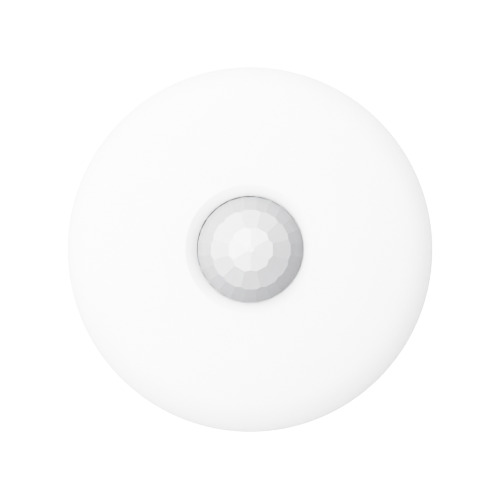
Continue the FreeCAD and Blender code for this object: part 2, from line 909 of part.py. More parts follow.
# ------------------------------------------------------------- lens retainer
def lens_retainer():
    body = new_body("lens_retainer")
    low, top = size.retainer_low, size.lens_flange_low - TOUCH
    revolve(
        body,
        [
            (size.retainer_inner, low),
            (size.retainer_outer, low),
            (size.retainer_outer, size.retainer_lip_top),
            (size.retainer_lip_in, size.retainer_lip_top),
            (size.retainer_lip_in, top),
            (size.retainer_inner, top),
        ],
    )
    # three screw ears, each on a neck that runs into the ring
    neck_half, neck_overlap = 2.2, 0.5
    ear_x = -size.ear_pitch_rad
    ear = pad(body, XY, [circle(ear_x, 0, size.ear_rad)], top - low, lift=low)
    neck = pad(
        body,
        XY,
        [rect(ear_x, -neck_half, neck_overlap - size.retainer_outer, neck_half)],
        top - low,
        lift=low,
    )
    hole = pocket(
        body,
        XY,
        [circle(ear_x, 0, size.ear_clear_rad)],
        top - low + 0.4,
        lift=low - OVERCUT,
        reverse=True,
    )
    polar(body, [ear, neck, hole], 3)
    return body


# -------------------------------------------------------------------- screws
def cross(x, y, arm, half):
    """Plus-shaped drive recess centred on x, y."""
    corners = [
        (arm, -half), (arm, half), (half, half), (half, arm),
        (-half, arm), (-half, half), (-arm, half), (-arm, -half),
        (-half, -half), (-half, -arm), (half, -arm), (half, -half),
    ]
    return [(dim(x) + dx, dim(y) + dy) for dx, dy in corners]


def screws(label, points, drive_z, seat_z, head_rad, tip_z, shank_rad, arm):
    """Equal screws.  The recess is in the face at drive_z, and the shank runs
    from the head's other face, seat_z, to tip_z."""
    body = new_body(label, group=True)
    tip_z = dim(tip_z)
    up = tip_z.value > seat_z.value
    head_low, head_top = (drive_z, seat_z) if up else (seat_z, drive_z)
    pad(body, XY, circles(points, head_rad), head_top - head_low, lift=head_low)
    overlap = 0.2 if up else -0.2
    length = tip_z - seat_z + overlap
    pad(
        body,
        XY,
        circles(points, shank_rad),
        length if up else -length,
        lift=seat_z - overlap,
        reverse=not up,
    )
    pocket(
        body,
        XY,
        [cross(x, y, arm, arm * 0.3) for x, y in points],
        (head_top - head_low) * 0.6,
        lift=drive_z,
        reverse=up,
    )
    dress(body, "Chamfer", 0.3, ring_edge(head_rad, drive_z))
    dress(body, "Chamfer", 0.35, ring_edge(shank_rad, tip_z))
    return body


# ---------------------------------------------------------------- main board
def main_board():
    body = new_body("main_board")
    radius, cut_y = size.board_rad, size.board_cut_y
    lead_hole_rad, peg_hole_rad = 0.4, 0.85
    edge_x = root(radius * radius - cut_y * cut_y)
    outline = [
        (-edge_x, cut_y),
        (edge_x, cut_y, ccw(radius)),
        (radius, 0, ccw(radius)),
        (0, radius, ccw(radius)),
        (-radius, 0, ccw(radius)),
    ]
    thickness = size.board_top - size.board_low
    pad(body, XY, [outline], thickness, lift=size.board_low)
    led_leads = [(size.led_lead_x, size.led_y), (-size.led_lead_x, size.led_y)]
    holes = (
        circles(BOARD_POSTS, size.board_screw_rad)
        + circles(PYRO_LEADS, lead_hole_rad)
        + circles(led_leads, lead_hole_rad)
        + circles(SHROUD_PEGS, peg_hole_rad)
    )
    pocket(body, XY, holes, 2 * thickness, lift=size.board_top)
    return body


# ----------------------------------------------------- pyroelectric sensor
def pyro_header():
    body = new_body("pyro_header")
    lead_rad, lead_low = 0.225, 12.8
    seat, high = size.pyro_seat, size.pyro_flange_high
    pad(body, XY, [circle(0, 0, size.pyro_flange_rad)], high, lift=seat)
    pad(body, XY, circles(PYRO_LEADS, lead_rad), size.pyro_lead_top - lead_low, lift=lead_low)
    # key tab at -X
    pad(body, XY, [rect(-5.3, -0.45, -4.2, 0.45)], high, lift=seat)
    return body


def pyro_can():
    body = new_body("pyro_can")
    low, top = size.pyro_seat + size.pyro_flange_high, size.pyro_can_top
    outside, sheet_wall = size.pyro_can_rad, size.pyro_can_wall
    revolve(
        body,
        [
            (outside - sheet_wall, low),
            (outside, low),
            (outside, top),
            (0, top),
            (0, top - sheet_wall),
            (outside - sheet_wall, top - sheet_wall),
        ],
    )
    dress(body, "Fillet", 0.2, ring_edge(outside, top))
    # window opening
    pocket(body, XY, [rect(-2.6, -2.1, 2.6, 2.1)], 0.5, lift=top + OVERCUT)
    return body


def pyro_window():
    """Pane just under the can's top sheet."""
    body = new_body("pyro_window")
    thickness = 0.5
    low = size.pyro_can_top - size.pyro_can_wall - TOUCH - thickness
    pad(body, XY, [rect(-2.9, -2.4, 2.9, 2.4)], thickness, lift=low)
    dress(body, "Chamfer", 0.1, upright(thickness))
    return body


def pyro_element():
    """Slab on the lead tops, with two raised pads."""
    body = new_body("pyro_element")
    thickness = 0.6
    low = size.pyro_lead_top + TOUCH
    pad(body, XY, [rect(-3.0, -1.6, 3.0, 1.6)], thickness, lift=low)
    raised = [rect(-1.6, -1.0, -0.6, 1.0), rect(0.6, -1.0, 1.6, 1.0)]
    pad(body, XY, raised, 0.15, lift=low + thickness - 0.02)
    return body


def sensor_shroud():
    """Tapered sleeve round the sensor, with a foot flange and two pegs."""
    body = new_body("sensor_shroud")
    bore, foot_rad, sleeve_low_rad, sleeve_top_rad = 5.5, 9.0, 6.9, 6.4
    foot_top, sleeve_top = size.board_top + 0.8, 19.5
    revolve(
        body,
        [
            (bore, board_face),
            (foot_rad, board_face),
            (foot_rad, foot_top),
            (sleeve_low_rad, foot_top),
            (sleeve_top_rad, sleeve_top),
            (bore, sleeve_top),
        ],
    )
    peg_low = size.board_low + 0.3
    pad(body, XY, circles(SHROUD_PEGS, 0.75), size.board_top - size.board_low, lift=peg_low)
    return body


# ------------------------------------------------------------- indicator LED
def indicator_led():
    body = new_body("indicator_led")
    rim_rad, rim_high, dome_rad, dome_low = 1.9, 1.0, 1.5, 2.1
    lead_rad, lead_len, lead_overlap = 0.25, 3.0, 0.2
    revolve(
        body,
        [
            (0, 0),
            (rim_rad, 0),
            (rim_rad, rim_high),
            (dome_rad, rim_high),
            (dome_rad, dome_low, ccw(dome_rad)),
            (0, dome_low + dome_rad),
        ],
    )
    leads = [(size.led_lead_x, 0), (-size.led_lead_x, 0)]
    pad(body, XY, circles(leads, lead_rad), lead_len + lead_overlap, lift=-lead_len)
    place(body, 0, size.led_y, size.board_top + 0.05)
    return body


# ------------------------------------------------------------------- battery
def battery():
    """Turned about its own Z, then laid along X: its nub points to -X."""
    body = new_body("battery")
    end = size.nub_len + size.cell_len
    revolve(
        body,
        [
            (0, 0),
            (size.nub_rad, 0),
            (size.nub_rad, size.nub_len),
            (size.cell_rad, size.nub_len),
            (size.cell_rad, end),
            (0, end),
        ],
    )
    dress(body, "Fillet", 0.5, ring_edge(size.cell_rad, size.nub_len))
    dress(body, "Fillet", 0.5, ring_edge(size.cell_rad, end))
    dress(body, "Fillet", 0.3, ring_edge(size.nub_rad, 0.0))
    place(body, size.cell_tip_x, size.trough_y, size.trough_z, LAY)
    return body


def contact_leaf(body, half_width, tab_start, reverse):
    """Upright leaf with a low tab that reaches out to +Y."""
    sheet_high = 0.3
    leaf = rect(-half_width, -4.7, half_width, 5.0)
    tab = rect(tab_start, -4.5, 10.9, -2.3)
    for loop in (leaf, tab):
        pad(body, YZ, [loop], sheet_high, reverse=reverse)


def battery_contact_positive():
    """Leaf at the -X end, with a raised bar that faces the nub."""
    body = new_body("battery_contact_positive")
    contact_leaf(body, half_width=4.0, tab_start=3.0, reverse=False)
    bar = [(0.1, -1.8), (0.35, -1.8), (1.05, -0.9), (1.05, 0.9), (0.35, 1.8), (0.1, 1.8)]
    pad(body, XZ, [bar], 3.0, both=True)
    place(body, 0.05 - size.trough_half_in, size.trough_y, size.trough_z)
    return body


def battery_contact_negative():
    """Leaf at the +X end, with a coil on a short stub towards the cell, along -X."""
    body = new_body("battery_contact_negative")
    contact_leaf(body, half_width=5.0, tab_start=4.0, reverse=True)
    coil_rad, wire_rad, coil_start_x = 3.6, 0.25, -0.62
    pad(body, YZ, [circle(coil_rad, 0, wire_rad)], 0.4, lift=coil_start_x)
    coil(
        body,
        XY,
        circle(coil_start_x, coil_rad, wire_rad),
        pitch=0.71,
        turns=3.0,
        axis="H_Axis",
        reverse=True,
        label="negative_coil",
    )
    place(body, size.trough_half_in - 0.05, size.trough_y, size.trough_z)
    return body


def battery_lead(label, x):
    """Insulated wire from a contact tab up to the board, in one S bend."""
    body = new_body(label)
    low, high, start_y, end_y = 9.75, 14.1, -20.0, -19.0
    wire_rad = 0.6
    shift, reach = end_y - start_y, high - low
    bend = (shift**2 + reach**2) / (4 * shift)  # two equal arcs, upright at both ends
    middle = ((start_y + end_y) / 2, (low + high) / 2)
    spine = draw(
        body,
        YZ,
        [[(start_y, low, cw(bend)), (*middle, ccw(bend)), (end_y, high)]],
        closed=False,
    )
    profile = draw(body, XY, [circle(0, start_y, wire_rad)], lift=low)
    pipe = add(body, "AdditivePipe", "pipe")
    pipe.Profile = profile
    pipe.Spine = spine
    doc.recompute()
    place(body, x, 0, 0)
    return body


# ------------------------------------------------------------------- antenna
def antenna():
    """Coil laid along X, with a leg from each end down to the board."""
    body = new_body("antenna")
    coil_rad, wire_rad, pitch, turns = 2.1, 0.4, 2.25, 8
    axis_z = 19.0
    coil(body, XZ, circle(coil_rad, 0, wire_rad), pitch, turns)
    legs = circles([(0, 0), (0, pitch * turns)], wire_rad)
    pad(body, YZ, legs, axis_z - coil_rad - board_face, lift=coil_rad)
    place(body, -9.0, 26.6, axis_z, LAY)
    return body


# --------------------------------------------------------- parts on the board
def radio_shield():
    body = new_body("radio_shield")
    high = 2.2
    pad(body, XY, [rect(-6, -5, 6, 5)], high)
    dress(body, "Fillet", 0.4, lambda edge: upright(high)(edge) or top_edge(high)(edge))
    place(body, 18.0, -4.0, board_face)
    return body


def chip(label, half_x, half_y, high, per_side, pitch, sides, x, y):
    """Block with a row of flat legs on two or four sides."""
    body = new_body(label)
    leg_overlap, leg_reach, leg_high, lift = 0.2, 1.0, 0.3, 0.1
    leg_half = pitch * 0.22
    pad(body, XY, [rect(-half_x, -half_y, half_x, half_y)], high, lift=lift)
    first = -pitch * (per_side - 1) / 2
    rows = [first + k * pitch for k in range(per_side)]
    legs = [
        rect(half_x - leg_overlap, row - leg_half, half_x + leg_reach, row + leg_half)
        for row in rows
    ]
    polar(body, [pad(body, XY, legs, leg_high)], sides)
    place(body, x, y, board_face)
    return body


def crystal():
    body = new_body("crystal")
    high = 2.0
    pad(body, XY, [rect(-3.4, -1.6, 3.4, 1.6)], high)
    dress(body, "Fillet", 1.4, upright(high))
    dress(body, "Fillet", 0.3, top_edge(high))
    place(body, -9.0, -14.0, board_face)
    return body


def capacitors():
    """Two round cans on square bases, side by side along Y."""
    body = new_body("capacitors", group=True)
    rows = (0, 6.5)
    base_half, base_high = 2.7, 0.6
    can_rad, can_low, can_top = 2.5, 0.5, 5.2
    bases = [rect(-base_half, y - base_half, base_half, y + base_half) for y in rows]
    pad(body, XY, bases, base_high)
    pad(body, XY, circles([(0, y) for y in rows], can_rad), can_top - can_low, lift=can_low)
    dress(body, "Fillet", 0.4, ring_edge(can_rad, can_top))
    place(body, 27.3, -2.0, board_face)
    return body


def programming_header():
    body = new_body("programming_header")
    pitch, count, pin_half, block_high, pin_high = 2.54, 4, 0.32, 1.6, 3.2
    half_length, half_width = pitch * count / 2, pitch / 2
    pad(body, XY, [rect(-half_length, -half_width, half_length, half_width)], block_high)
    centres = [pitch * (k - (count - 1) / 2) for k in range(count)]
    pins = [rect(x - pin_half, -pin_half, x + pin_half, pin_half) for x in centres]
    pad(body, XY, pins, pin_high)
    place(body, 4.0, -15.2, board_face)
    return body


def thermistor():
    """Bead on two leads."""
    body = new_body("thermistor")
    bead_rad, lead_x, lead_rad, lead_len = 1.1, 0.6, 0.2, 2.4
    revolve(body, [(0, -bead_rad, ccw(bead_rad)), (bead_rad, 0, ccw(bead_rad)), (0, bead_rad)])
    leads = circles([(lead_x, 0), (-lead_x, 0)], lead_rad)
    pad(body, XY, leads, lead_len - 0.2, lift=-lead_len)
    place(body, -28.0, 2.0, board_face + lead_len)
    return body


# ------------------------------------------------------------------ switches
def switch(label, centre):
    """Switch body under the board, bored from below for its stem."""
    body = new_body(label)
    high = size.board_low - size.switch_low - TOUCH
    pad(body, XY, [rect(-3, -3, 3, 3)], high, lift=size.switch_low)
    dress(body, "Chamfer", 0.3, upright(high.value))
    bore = circle(0, 0, size.stem_rad + 0.1)
    pocket(body, XY, [bore], 1.5, lift=size.switch_low, reverse=True)
    place(body, *centre)
    return body


def stem(label, centre, low):
    body = new_body(label)
    pad(body, XY, [circle(0, 0, size.stem_rad)], size.stem_len)
    dress(body, "Chamfer", 0.2, ring_edge(size.stem_rad, 0.0))
    place(body, *centre, low)
    return body


def tamper_plunger():
    body = new_body("tamper_plunger")
    tip_round, collar_rad, neck_rad = 0.9, 2.5, 1.3
    revolve(
        body,
        [
            (0, size.plunger_tip),
            (size.plunger_rad - tip_round, size.plunger_tip, ccw(tip_round)),
            (size.plunger_rad, size.plunger_tip + tip_round),
            (size.plunger_rad, size.plunger_collar_low),
            (collar_rad, size.plunger_collar_low),
            (collar_rad, size.plunger_collar_top),
            (neck_rad, size.plunger_collar_top),
            (neck_rad, size.plunger_top),
            (0, size.plunger_top),
        ],
    )
    place(body, *TAMPER)
    return body


def tamper_spring():
    """Coil between the plunger's collar and the switch body."""
    body = new_body("tamper_spring")
    coil_rad, wire_rad, turns = 2.3, 0.15, 3
    start_z = size.plunger_collar_top + wire_rad + TOUCH
    rise = size.switch_low - size.plunger_collar_top - 2 * wire_rad - 2 * TOUCH
    coil(body, XZ, circle(coil_rad, start_z, wire_rad), rise / turns, turns)
    place(body, *TAMPER)
    return body


def enrol_button():
    """Button with a barb on its stem, just above the housing floor."""
    body = new_body("enrol_button")
    head_rad, head_round, stem_rad, barb_rad = 2.8, 0.5, 1.5, 2.1
    barb_low, barb_top = size.floor_top + 0.15, size.floor_top + 1.2
    revolve(
        body,
        [
            (0, size.button_low),
            (head_rad - head_round, size.button_low, ccw(head_round)),
            (head_rad, size.button_low + head_round),
            (head_rad, size.button_head_top),
            (stem_rad, size.button_head_top),
            (stem_rad, barb_low),
            (barb_rad, barb_low),
            (stem_rad, barb_top),
            (stem_rad, size.button_top),
            (0, size.button_top),
        ],
    )
    place(body, *ENROL)
    return body


# ------------------------------------------------------------------ assembly
pieces = [
    mounting_plate(),
    rear_housing(),
    front_cover(),
    faceted_lens(),
    lens_retainer(),
    screws(
        "cover_screws",
        COVER_SCREWS,
        drive_z=size.floor_low - 1.6,
        seat_z=size.floor_low - TOUCH,
        head_rad=2.5,
        tip_z=14.0,
        shank_rad=1.2,
        arm=1.4,
    ),
    screws(
        "board_screws",
        BOARD_POSTS,
        drive_z=size.board_top + 1.4,
        seat_z=board_face,
        head_rad=1.9,
        tip_z=11.0,
        shank_rad=0.95,
        arm=1.1,
    ),
    screws(
        "retainer_screws",
        EAR_SCREWS,
        drive_z=size.retainer_low - 1.2,
        seat_z=size.retainer_low - TOUCH,
        head_rad=1.9,
        tip_z=23.4,
        shank_rad=0.95,
        arm=1.1,
    ),
    main_board(),
    pyro_header(),
    pyro_can(),
    pyro_window(),
    pyro_element(),
    sensor_shroud(),
    indicator_led(),
    battery(),
    battery_contact_positive(),
    battery_contact_negative(),
    battery_lead("battery_lead_red", 0.2 - size.trough_half_in),
    battery_lead("battery_lead_black", size.trough_half_in - 0.2),
    antenna(),
    radio_shield(),
    chip(
        "microcontroller",
        half_x=3.5, half_y=3.5, high=1.3, per_side=8, pitch=0.8, sides=4, x=-18.5, y=-7.0,
    ),
    chip(
        "amplifier_chip",
        half_x=2.0, half_y=2.5, high=1.4, per_side=4, pitch=1.27, sides=2, x=-18.5, y=5.0,
    ),
    crystal(),
    capacitors(),
    programming_header(),
    thermistor(),
    switch("tamper_switch", TAMPER),
    switch("enrol_switch", ENROL),
    stem("tamper_stem", TAMPER, size.tamper_stem_low),
    stem("enrol_stem", ENROL, size.enrol_stem_low),
    tamper_plunger(),
    tamper_spring(),
    enrol_button(),
]

# --------------------------------------------------------- checks and export
doc.recompute()
bad = [o.Label for o in doc.Objects if "Invalid" in o.State or "Error" in o.State]
if bad:
    raise RuntimeError("failed objects: " + ", ".join(bad))
for piece in pieces:
    shape = piece.Shape
    if shape.isNull() or not shape.isValid() or not shape.Solids:
        raise RuntimeError("bad shape: " + piece.Label)

os.makedirs("parts", exist_ok=True)
for piece in pieces:
    piece.Shape.exportStep(os.path.join("parts", piece.Label + ".step"))
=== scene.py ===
"""Wireless infrared motion detector, lying on its mounting plate with its lens towards +Z.

The CAD pieces keep their shapes and get finishes; the lens and the tamper spring are
replaced. Units are metres; sizes given in millimetres are multiplied by MM.
"""

import math

import bmesh
import bpy
from mathutils import Matrix, Vector


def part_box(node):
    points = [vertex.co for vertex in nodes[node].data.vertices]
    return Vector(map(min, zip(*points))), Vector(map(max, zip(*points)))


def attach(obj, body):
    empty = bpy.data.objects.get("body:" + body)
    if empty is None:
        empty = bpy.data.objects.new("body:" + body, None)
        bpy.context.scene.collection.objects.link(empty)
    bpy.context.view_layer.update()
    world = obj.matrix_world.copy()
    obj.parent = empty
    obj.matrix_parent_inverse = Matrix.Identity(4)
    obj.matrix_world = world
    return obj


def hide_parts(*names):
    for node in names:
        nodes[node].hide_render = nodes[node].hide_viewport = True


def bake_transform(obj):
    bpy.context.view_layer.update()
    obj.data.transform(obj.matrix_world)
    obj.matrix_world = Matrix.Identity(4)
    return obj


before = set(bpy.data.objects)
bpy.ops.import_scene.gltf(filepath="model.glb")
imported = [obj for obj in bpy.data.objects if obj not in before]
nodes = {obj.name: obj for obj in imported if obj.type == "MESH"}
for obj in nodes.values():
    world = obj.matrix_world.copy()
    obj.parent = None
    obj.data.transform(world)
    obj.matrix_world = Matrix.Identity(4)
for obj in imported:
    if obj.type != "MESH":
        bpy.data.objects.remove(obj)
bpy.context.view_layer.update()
scene = bpy.context.scene
MM = 0.001


# --------------------------------------------------------------- node helpers
def node(tree, kind, inputs=None, **settings):
    """New shader node; each input takes a value or a link, and settings are properties."""
    made = tree.nodes.new("ShaderNode" + kind)
    for key, value in settings.items():
        setattr(made, key, value)
    for key, value in (inputs or {}).items():
        if isinstance(value, bpy.types.NodeSocket):
            tree.links.new(value, made.inputs[key])
        else:
            made.inputs[key].default_value = value
    return made


def new_material(name):
    """An empty material: returns it, its node tree and its surface socket."""
    mat = bpy.data.materials.new(name)
    mat.use_nodes = True
    tree = mat.node_tree
    tree.nodes.clear()
    return mat, tree, node(tree, "OutputMaterial").inputs["Surface"]


def principled(tree, inputs):
    return node(tree, "BsdfPrincipled", inputs).outputs[0]


def coords(tree):
    return node(tree, "TexCoord").outputs["Object"]


def noise(tree, where, scale, detail=2.0, rough=0.5):
    inputs = {"Vector": where, "Scale": scale, "Detail": detail, "Roughness": rough}
    return node(tree, "TexNoise", inputs).outputs["Fac"]


def spread(tree, value, low, high, from_low=0.3, from_high=0.7):
    """Map from_low..from_high onto low..high, clamped at both ends."""
    inputs = {
        "Value": value,
        "From Min": from_low,
        "From Max": from_high,
        "To Min": low,
        "To Max": high,
    }
    return node(tree, "MapRange", inputs).outputs["Result"]


def mix_color(tree, share, first, second):
    """The first colour where share is 0, the second where it is 1; RGB or linked."""
    first, second = ((*c, 1.0) if isinstance(c, tuple) else c for c in (first, second))
    return node(tree, "Mix", {0: share, 6: first, 7: second}, data_type="RGBA").outputs[2]


def mottle(tree, cloud, dark, light):
    """Two colours blended by the middle range of a noise."""
    return mix_color(tree, spread(tree, cloud, low=0.0, high=1.0), dark, light)


def tones(color, tint):
    """A colour darkened and lightened by the share tint."""
    return tuple(c * (1 - tint) for c in color), tuple(min(1.0, c * (1 + tint)) for c in color)


def bump(tree, height, distance):
    inputs = {"Height": height, "Strength": 1.0, "Distance": distance}
    return node(tree, "Bump", inputs).outputs["Normal"]


def calc(tree, operation, *values):
    return node(tree, "Math", dict(enumerate(values)), operation=operation).outputs[0]


def axes(tree, vector):
    split = node(tree, "SeparateXYZ", {0: vector})
    return [split.outputs[axis] for axis in "XYZ"]


# ------------------------------------------------------------ plastic and metal
def plastic(name, color, rough=0.45, grain=5200.0, grain_depth=2.0e-6, tint=0.015,
            spec=0.45, coat=0.0):
    """Moulded plastic: a fine spark-eroded skin, faint flow mottling and uneven sheen."""
    mat, tree, surface = new_material(name)
    where = coords(tree)
    flow = noise(tree, where, scale=60.0, detail=3.0)
    skin = noise(tree, where, scale=grain, rough=0.6)
    shader = principled(tree, {
        "Base Color": mottle(tree, flow, *tones(color, tint)),
        "Roughness": spread(tree, skin, low=rough - 0.04, high=rough + 0.05),
        "Normal": bump(tree, skin, distance=grain_depth),
        "Specular IOR Level": spec,
        "IOR": 1.5,
        "Coat Weight": coat,
        "Coat Roughness": 0.08,
    })
    tree.links.new(shader, surface)
    return mat


def metal(name, color, rough=0.3, stretch=(1.0, 1.0, 12.0), scale=900.0, depth=1.5e-6):
    """Drawn or brushed metal: stretched grain in roughness and bump, faint stains."""
    mat, tree, surface = new_material(name)
    where = coords(tree)
    stretched = node(tree, "Mapping", {"Vector": where, "Scale": stretch}).outputs[0]
    grain = noise(tree, stretched, scale=scale, detail=4.0, rough=0.65)
    stain = noise(tree, where, scale=180.0, detail=3.0)
    stained = tuple(c * 0.86 for c in color)
    shader = principled(tree, {
        "Base Color": mottle(tree, stain, stained, color),
        "Metallic": 1.0,
        "Roughness": spread(tree, grain, low=rough - 0.08, high=rough + 0.12),
        "Normal": bump(tree, grain, distance=depth),
    })
    tree.links.new(shader, surface)
    return mat


shell_mat = plastic("shell_white", color=(0.867, 0.867, 0.871), rough=0.42, grain=5600.0,
                    grain_depth=1.5e-6, tint=0.004)
plate_mat = plastic("plate_white", color=(0.80, 0.80, 0.79), rough=0.55, grain=3800.0,
                    grain_depth=4.0e-6, tint=0.01)

# ------------------------------------------------------------------ lens finish
# Fitted painted light and shade on the lens; its real cause in the light isn't known.
# Least |Z| of the surface normal, painted brightness: skirt (painted light lifting the shade in
# the gap), outer, middle and inner facets (painted sheen, lighter the more they face up).
FACET_PAINTED_LIGHT = ((0.0, 1.32), (0.30, 0.975), (0.70, 1.09), (0.93, 1.10))
# Painted shade low on the dome, where the collar shades it (foot), and painted light on the
# skirt inside the opening (seat): level at the bottom of a height range, which rises or falls
# to 1 at its top.
FOOT_PAINTED_SHADE, FOOT_LOW, FOOT_HIGH = 0.91, 25.1 * MM, 27.9 * MM
# painted light on the skirt inside the gap of the opening, lifting the shade there
SEAT_PAINTED_LIGHT, SEAT_LOW, SEAT_HIGH = 1.15, 23.9 * MM, 24.4 * MM


def painted_lens_light(tree, where):
    """Painted light and shade on the lens by facet family, foot and seat in the opening."""
    normal = node(tree, "NewGeometry").outputs["True Normal"]
    facing = calc(tree, "ABSOLUTE", axes(tree, normal)[2])
    family = node(tree, "ValToRGB", {0: facing})
    family.color_ramp.interpolation = "CONSTANT"
    stops = family.color_ramp.elements
    # a new ramp already has two stops
    stops[0].position, stops[1].position = FACET_PAINTED_LIGHT[0][0], FACET_PAINTED_LIGHT[1][0]
    for position, _ in FACET_PAINTED_LIGHT[2:]:
        stops.new(position)
    for stop, (_, painted_level) in zip(stops, FACET_PAINTED_LIGHT):
        stop.color = (painted_level, painted_level, painted_level, 1.0)
    height = axes(tree, where)[2]
    foot = spread(tree, height, FOOT_PAINTED_SHADE, 1.0, FOOT_LOW, FOOT_HIGH)
    seat = spread(tree, height, SEAT_PAINTED_LIGHT, 1.0, SEAT_LOW, SEAT_HIGH)
    return calc(tree, "MULTIPLY", family.outputs[0], calc(tree, "MULTIPLY", foot, seat))


def lens_material():
    """Milky polyethylene sheet: part diffuse, part light passed through, with a soft sheen."""
    mat, tree, surface = new_material("lens_milky")
    where = coords(tree)
    cloud = noise(tree, where, scale=260.0, detail=4.0)
    # the colour carries the painted light and shade of the facets, foot and seat
    painted_level = painted_lens_light(tree, where)
    milk = mottle(tree, cloud, dark=(0.566, 0.569, 0.580), light=(0.580, 0.583, 0.594))
    color = node(tree, "VectorMath", {0: milk, "Scale": painted_level}, operation="SCALE").outputs[0]
    skin = noise(tree, where, scale=4200.0)
    # the sheen is for the eye only, so that it doesn't light the dish round the lens
    to_eye = node(tree, "LightPath").outputs["Is Camera Ray"]
    front = principled(tree, {
        "Base Color": color,
        "Roughness": spread(tree, skin, low=0.67, high=0.73),
        "Specular IOR Level": spread(
            tree, to_eye, low=0.06, high=0.5, from_low=0.0, from_high=1.0
        ),
        "IOR": 1.52,
    })
    through = node(tree, "BsdfTranslucent", {"Color": color}).outputs[0]
    passed_share = 0.38
    mix = node(tree, "MixShader", {0: passed_share, 1: front, 2: through})
    tree.links.new(mix.outputs[0], surface)
    return mat


lens_mat = lens_material()

# ------------------------------------------------------- plain inner finishes
retainer_mat = plastic("retainer_grey", color=(0.36, 0.37, 0.38), rough=0.55, grain=3600.0,
                       grain_depth=3.0e-6, tint=0.02)
shroud_mat = plastic("shroud_black", color=(0.014, 0.014, 0.015), rough=0.6, grain=4200.0,
                     grain_depth=3.0e-6, tint=0.1)
switch_mat = plastic("switch_black", color=(0.018, 0.018, 0.02), rough=0.38, tint=0.1)
stem_mat = plastic("stem_white", color=(0.66, 0.64, 0.58), rough=0.4, tint=0.02)
plunger_mat = plastic("plunger_grey", color=(0.20, 0.205, 0.21), rough=0.42, grain=4600.0,
                      tint=0.04)
wire_red_mat = plastic("wire_red", color=(0.42, 0.012, 0.010), rough=0.34, grain=2600.0,
                       grain_depth=4.0e-6, tint=0.06)
wire_black_mat = plastic("wire_black", color=(0.012, 0.012, 0.013), rough=0.34,
                         grain=2600.0, grain_depth=4.0e-6, tint=0.1)
bead_mat = plastic("bead_blue", color=(0.012, 0.05, 0.16), rough=0.2, grain=900.0,
                   grain_depth=6.0e-6, tint=0.1, coat=0.5)
filter_mat = plastic("filter_dark", color=(0.020, 0.012, 0.018), rough=0.08, grain=700.0,
                     grain_depth=2.0e-7, tint=0.15, spec=0.9, coat=1.0)
ceramic_mat = plastic("element_ceramic", color=(0.70, 0.66, 0.58), rough=0.62,
                      grain=6200.0, grain_depth=4.0e-6, tint=0.03)

screw_mat = metal("screw_steel", color=(0.62, 0.63, 0.66), rough=0.26,
                  stretch=(1.0, 1.0, 1.0), scale=1400.0)
nickel_mat = metal("nickel", color=(0.68, 0.65, 0.60), rough=0.2,
                   stretch=(1.0, 1.0, 14.0), scale=700.0, depth=8.0e-7)
contact_mat = metal("contact_nickel", color=(0.72, 0.71, 0.69), rough=0.24,
                    stretch=(1.0, 9.0, 1.0), scale=800.0, depth=1.0e-6)
copper_mat = metal("antenna_copper", color=(0.74, 0.43, 0.27), rough=0.26,
                   stretch=(1.0, 1.0, 3.0), depth=1.0e-6)
shield_mat = metal("shield_tin", color=(0.66, 0.66, 0.655), rough=0.36,
                   stretch=(1.0, 10.0, 1.0), scale=600.0, depth=1.2e-6)
spring_mat = metal("spring_steel", color=(0.55, 0.55, 0.57), rough=0.24,
                   stretch=(1.0, 1.0, 1.0), scale=1600.0, depth=1.0e-6)

# ------------------------------------------------------------------ board, LED
TRACK_CELLS = 150.0  # square patches of tracks per metre
TRACKS_PER_METRE = 1250.0
TRACK_SHARE = 0.38  # width of a track as a share of its pitch
BARE_SHARE = 0.42  # share of the patches without tracks


def track_mask(tree, where):
    """1 on a track: each patch has stripes across X, stripes across Y or none."""
    x, y, _ = axes(tree, where)
    cells = node(
        tree, "TexVoronoi", {"Vector": where, "Scale": TRACK_CELLS}, distance="CHEBYCHEV"
    )
    pick = node(tree, "SeparateColor", {0: cells.outputs["Color"]})
    stripes = []
    for axis in (x, y):
        phase = calc(tree, "FRACT", calc(tree, "MULTIPLY", axis, TRACKS_PER_METRE))
        stripes.append(calc(tree, "LESS_THAN", phase, TRACK_SHARE))
    across_x = calc(tree, "GREATER_THAN", pick.outputs[0], 0.5)
    across_y = calc(tree, "SUBTRACT", 1.0, across_x)
    track = calc(
        tree,
        "ADD",
        calc(tree, "MULTIPLY", stripes[0], across_x),
        calc(tree, "MULTIPLY", stripes[1], across_y),
    )
    filled = calc(tree, "GREATER_THAN", pick.outputs[1], BARE_SHARE)
    return calc(tree, "MULTIPLY", track, filled)


def board_material():
    """Solder-masked laminate: dark green, lighter tracks under the mask, bare cut edges."""
    mat, tree, surface = new_material("board_green")
    where = coords(tree)
    track = track_mask(tree, where)
    weave = noise(tree, where, scale=2400.0)
    green = mottle(tree, weave, dark=(0.004, 0.052, 0.020), light=(0.006, 0.064, 0.026))
    masked = mix_color(tree, track, green, (0.012, 0.125, 0.045))
    # the cut edge of the sheet shows the pale laminate
    normal_z = axes(tree, node(tree, "NewGeometry").outputs["Normal"])[2]
    flat = calc(tree, "GREATER_THAN", calc(tree, "ABSOLUTE", normal_z), 0.5)
    shader = principled(tree, {
        "Base Color": mix_color(tree, flat, (0.30, 0.27, 0.10), masked),
        "Roughness": spread(tree, weave, low=0.30, high=0.42),
        "Normal": bump(tree, track, distance=1.2e-5),
        "Coat Weight": 0.35,
        "Coat Roughness": 0.12,
    })
    tree.links.new(shader, surface)
    return mat


def led_material():
    """Clear red moulding with a faint swirl."""
    mat, tree, surface = new_material("led_red")
    swirl = noise(tree, coords(tree), scale=700.0)
    shader = principled(tree, {
        "Base Color": mottle(tree, swirl, dark=(0.62, 0.02, 0.012), light=(0.72, 0.035, 0.02)),
        "Roughness": spread(tree, swirl, low=0.06, high=0.12),
        "Transmission Weight": 0.55,
        "IOR": 1.5,
    })
    tree.links.new(shader, surface)
    return mat


board_mat = board_material()
led_mat = led_material()


